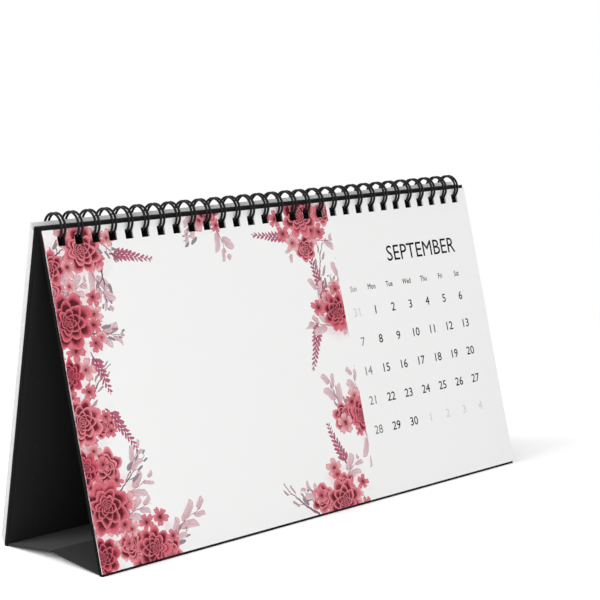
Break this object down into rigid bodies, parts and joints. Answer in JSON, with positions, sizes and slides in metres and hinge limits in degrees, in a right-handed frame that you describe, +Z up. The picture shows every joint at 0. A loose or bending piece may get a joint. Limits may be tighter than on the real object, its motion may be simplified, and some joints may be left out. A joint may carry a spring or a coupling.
{
  "type": "desk calendar",
  "caption": "Folding desk calendar: a black board tent on a creased base, with punched paper month leaves hung on a black twin-loop wire along the spine.",
  "frame": {"origin": "on the floor under the middle of the calendar's bounding box", "axes": "+X along the spine, to the right seen from the front; the front leaves face -Y; +Z up"},
  "size_m": [0.254, 0.0696, 0.1417],
  "materials": {
    "board": "matte black paper wrapped over board",
    "wire": "black nylon-coated steel wire, satin",
    "paper": "smooth matte card stock"
  },
  "bodies": {
    "root": {"front_board": "board", "wire_binding": "wire"},
    "back_board": {"back_board": "board"},
    "base_front_flap": {"base_front_flap": "board"},
    "base_rear_flap": {"base_rear_flap": "board"},
    "leaf_september": {"leaf_september": "paper"},
    "leaf_october": {"leaf_october": "paper"},
    "leaf_november": {"leaf_november": "paper"},
    "leaf_december": {"leaf_december": "paper"},
    "leaf_august": {"leaf_august": "paper"},
    "leaf_july": {"leaf_july": "paper"},
    "leaf_june": {"leaf_june": "paper"},
    "leaf_may": {"leaf_may": "paper"},
    "leaf_april": {"leaf_april": "paper"},
    "leaf_march": {"leaf_march": "paper"},
    "leaf_february": {"leaf_february": "paper"},
    "leaf_january": {"leaf_january": "paper"},
    "leaf_cover": {"leaf_cover": "paper"}
  },
  "joints": [
    {"name": "tent_fold", "type": "hinge", "parent": "root", "child": "back_board", "pos_m": [0, -0.00065, 0.13525], "axis": [-1, 0, 0], "range_deg": [0, 14]},
    {"name": "front_flap_fold", "type": "hinge", "parent": "root", "child": "base_front_flap", "pos_m": [0, -0.03154, 0.0012], "axis": [1, 0, 0], "range_deg": [0, 70.5]},
    {"name": "rear_flap_fold", "type": "hinge", "parent": "back_board", "child": "base_rear_flap", "pos_m": [0, 0.03025, 0.0012], "axis": [-1, 0, 0], "range_deg": [0, 35.5]},
    {"name": "september_turn", "type": "hinge", "parent": "root", "child": "leaf_september", "pos_m": [0, -0.00065, 0.13525], "axis": [-1, 0, 0], "range_deg": [0, 150]},
    {"name": "october_turn", "type": "hinge", "parent": "root", "child": "leaf_october", "pos_m": [0, -0.00065, 0.13525], "axis": [-1, 0, 0], "range_deg": [0, 141.5]},
    {"name": "november_turn", "type": "hinge", "parent": "root", "child": "leaf_november", "pos_m": [0, -0.00065, 0.13525], "axis": [-1, 0, 0], "range_deg": [0, 132.5]},
    {"name": "december_turn", "type": "hinge", "parent": "root", "child": "leaf_december", "pos_m": [0, -0.00065, 0.13525], "axis": [-1, 0, 0], "range_deg": [0, 123.5]},
    {"name": "august_turn", "type": "hinge", "parent": "back_board", "child": "leaf_august", "pos_m": [0, -0.00065, 0.13525], "axis": [1, 0, 0], "range_deg": [0, 15]},
    {"name": "july_turn", "type": "hinge", "parent": "back_board", "child": "leaf_july", "pos_m": [0, -0.00065, 0.13525], "axis": [1, 0, 0], "range_deg": [0, 14.05]},
    {"name": "june_turn", "type": "hinge", "parent": "back_board", "child": "leaf_june", "pos_m": [0, -0.00065, 0.13525], "axis": [1, 0, 0], "range_deg": [0, 13]},
    {"name": "may_turn", "type": "hinge", "parent": "back_board", "child": "leaf_may", "pos_m": [0, -0.00065, 0.13525], "axis": [1, 0, 0], "range_deg": [0, 11.95]},
    {"name": "april_turn", "type": "hinge", "parent": "back_board", "child": "leaf_april", "pos_m": [0, -0.00065, 0.13525], "axis": [1, 0, 0], "range_deg": [0, 10.9]},
    {"name": "march_turn", "type": "hinge", "parent": "back_board", "child": "leaf_march", "pos_m": [0, -0.00065, 0.13525], "axis": [1, 0, 0], "range_deg": [0, 9.85]},
    {"name": "february_turn", "type": "hinge", "parent": "back_board", "child": "leaf_february", "pos_m": [0, -0.00065, 0.13525], "axis": [1, 0, 0], "range_deg": [0, 8.8]},
    {"name": "january_turn", "type": "hinge", "parent": "back_board", "child": "leaf_january", "pos_m": [0, -0.00065, 0.13525], "axis": [1, 0, 0], "range_deg": [0, 7.75]},
    {"name": "cover_turn", "type": "hinge", "parent": "back_board", "child": "leaf_cover", "pos_m": [0, -0.00065, 0.13525], "axis": [1, 0, 0], "range_deg": [0, 6.7]}
  ],
  "couplings": [
    {"joint": "front_flap_fold", "follows": "tent_fold", "ratio": 5},
    {"joint": "rear_flap_fold", "follows": "tent_fold", "ratio": 2.5},
    {"joint": "october_turn", "follows": "september_turn", "ratio": 0.94},
    {"joint": "november_turn", "follows": "september_turn", "ratio": 0.88},
    {"joint": "december_turn", "follows": "september_turn", "ratio": 0.82},
    {"joint": "july_turn", "follows": "august_turn", "ratio": 0.93},
    {"joint": "june_turn", "follows": "august_turn", "ratio": 0.86},
    {"joint": "may_turn", "follows": "august_turn", "ratio": 0.79},
    {"joint": "april_turn", "follows": "august_turn", "ratio": 0.72},
    {"joint": "march_turn", "follows": "august_turn", "ratio": 0.65},
    {"joint": "february_turn", "follows": "august_turn", "ratio": 0.58},
    {"joint": "january_turn", "follows": "august_turn", "ratio": 0.51},
    {"joint": "cover_turn", "follows": "august_turn", "ratio": 0.44}
  ]
}
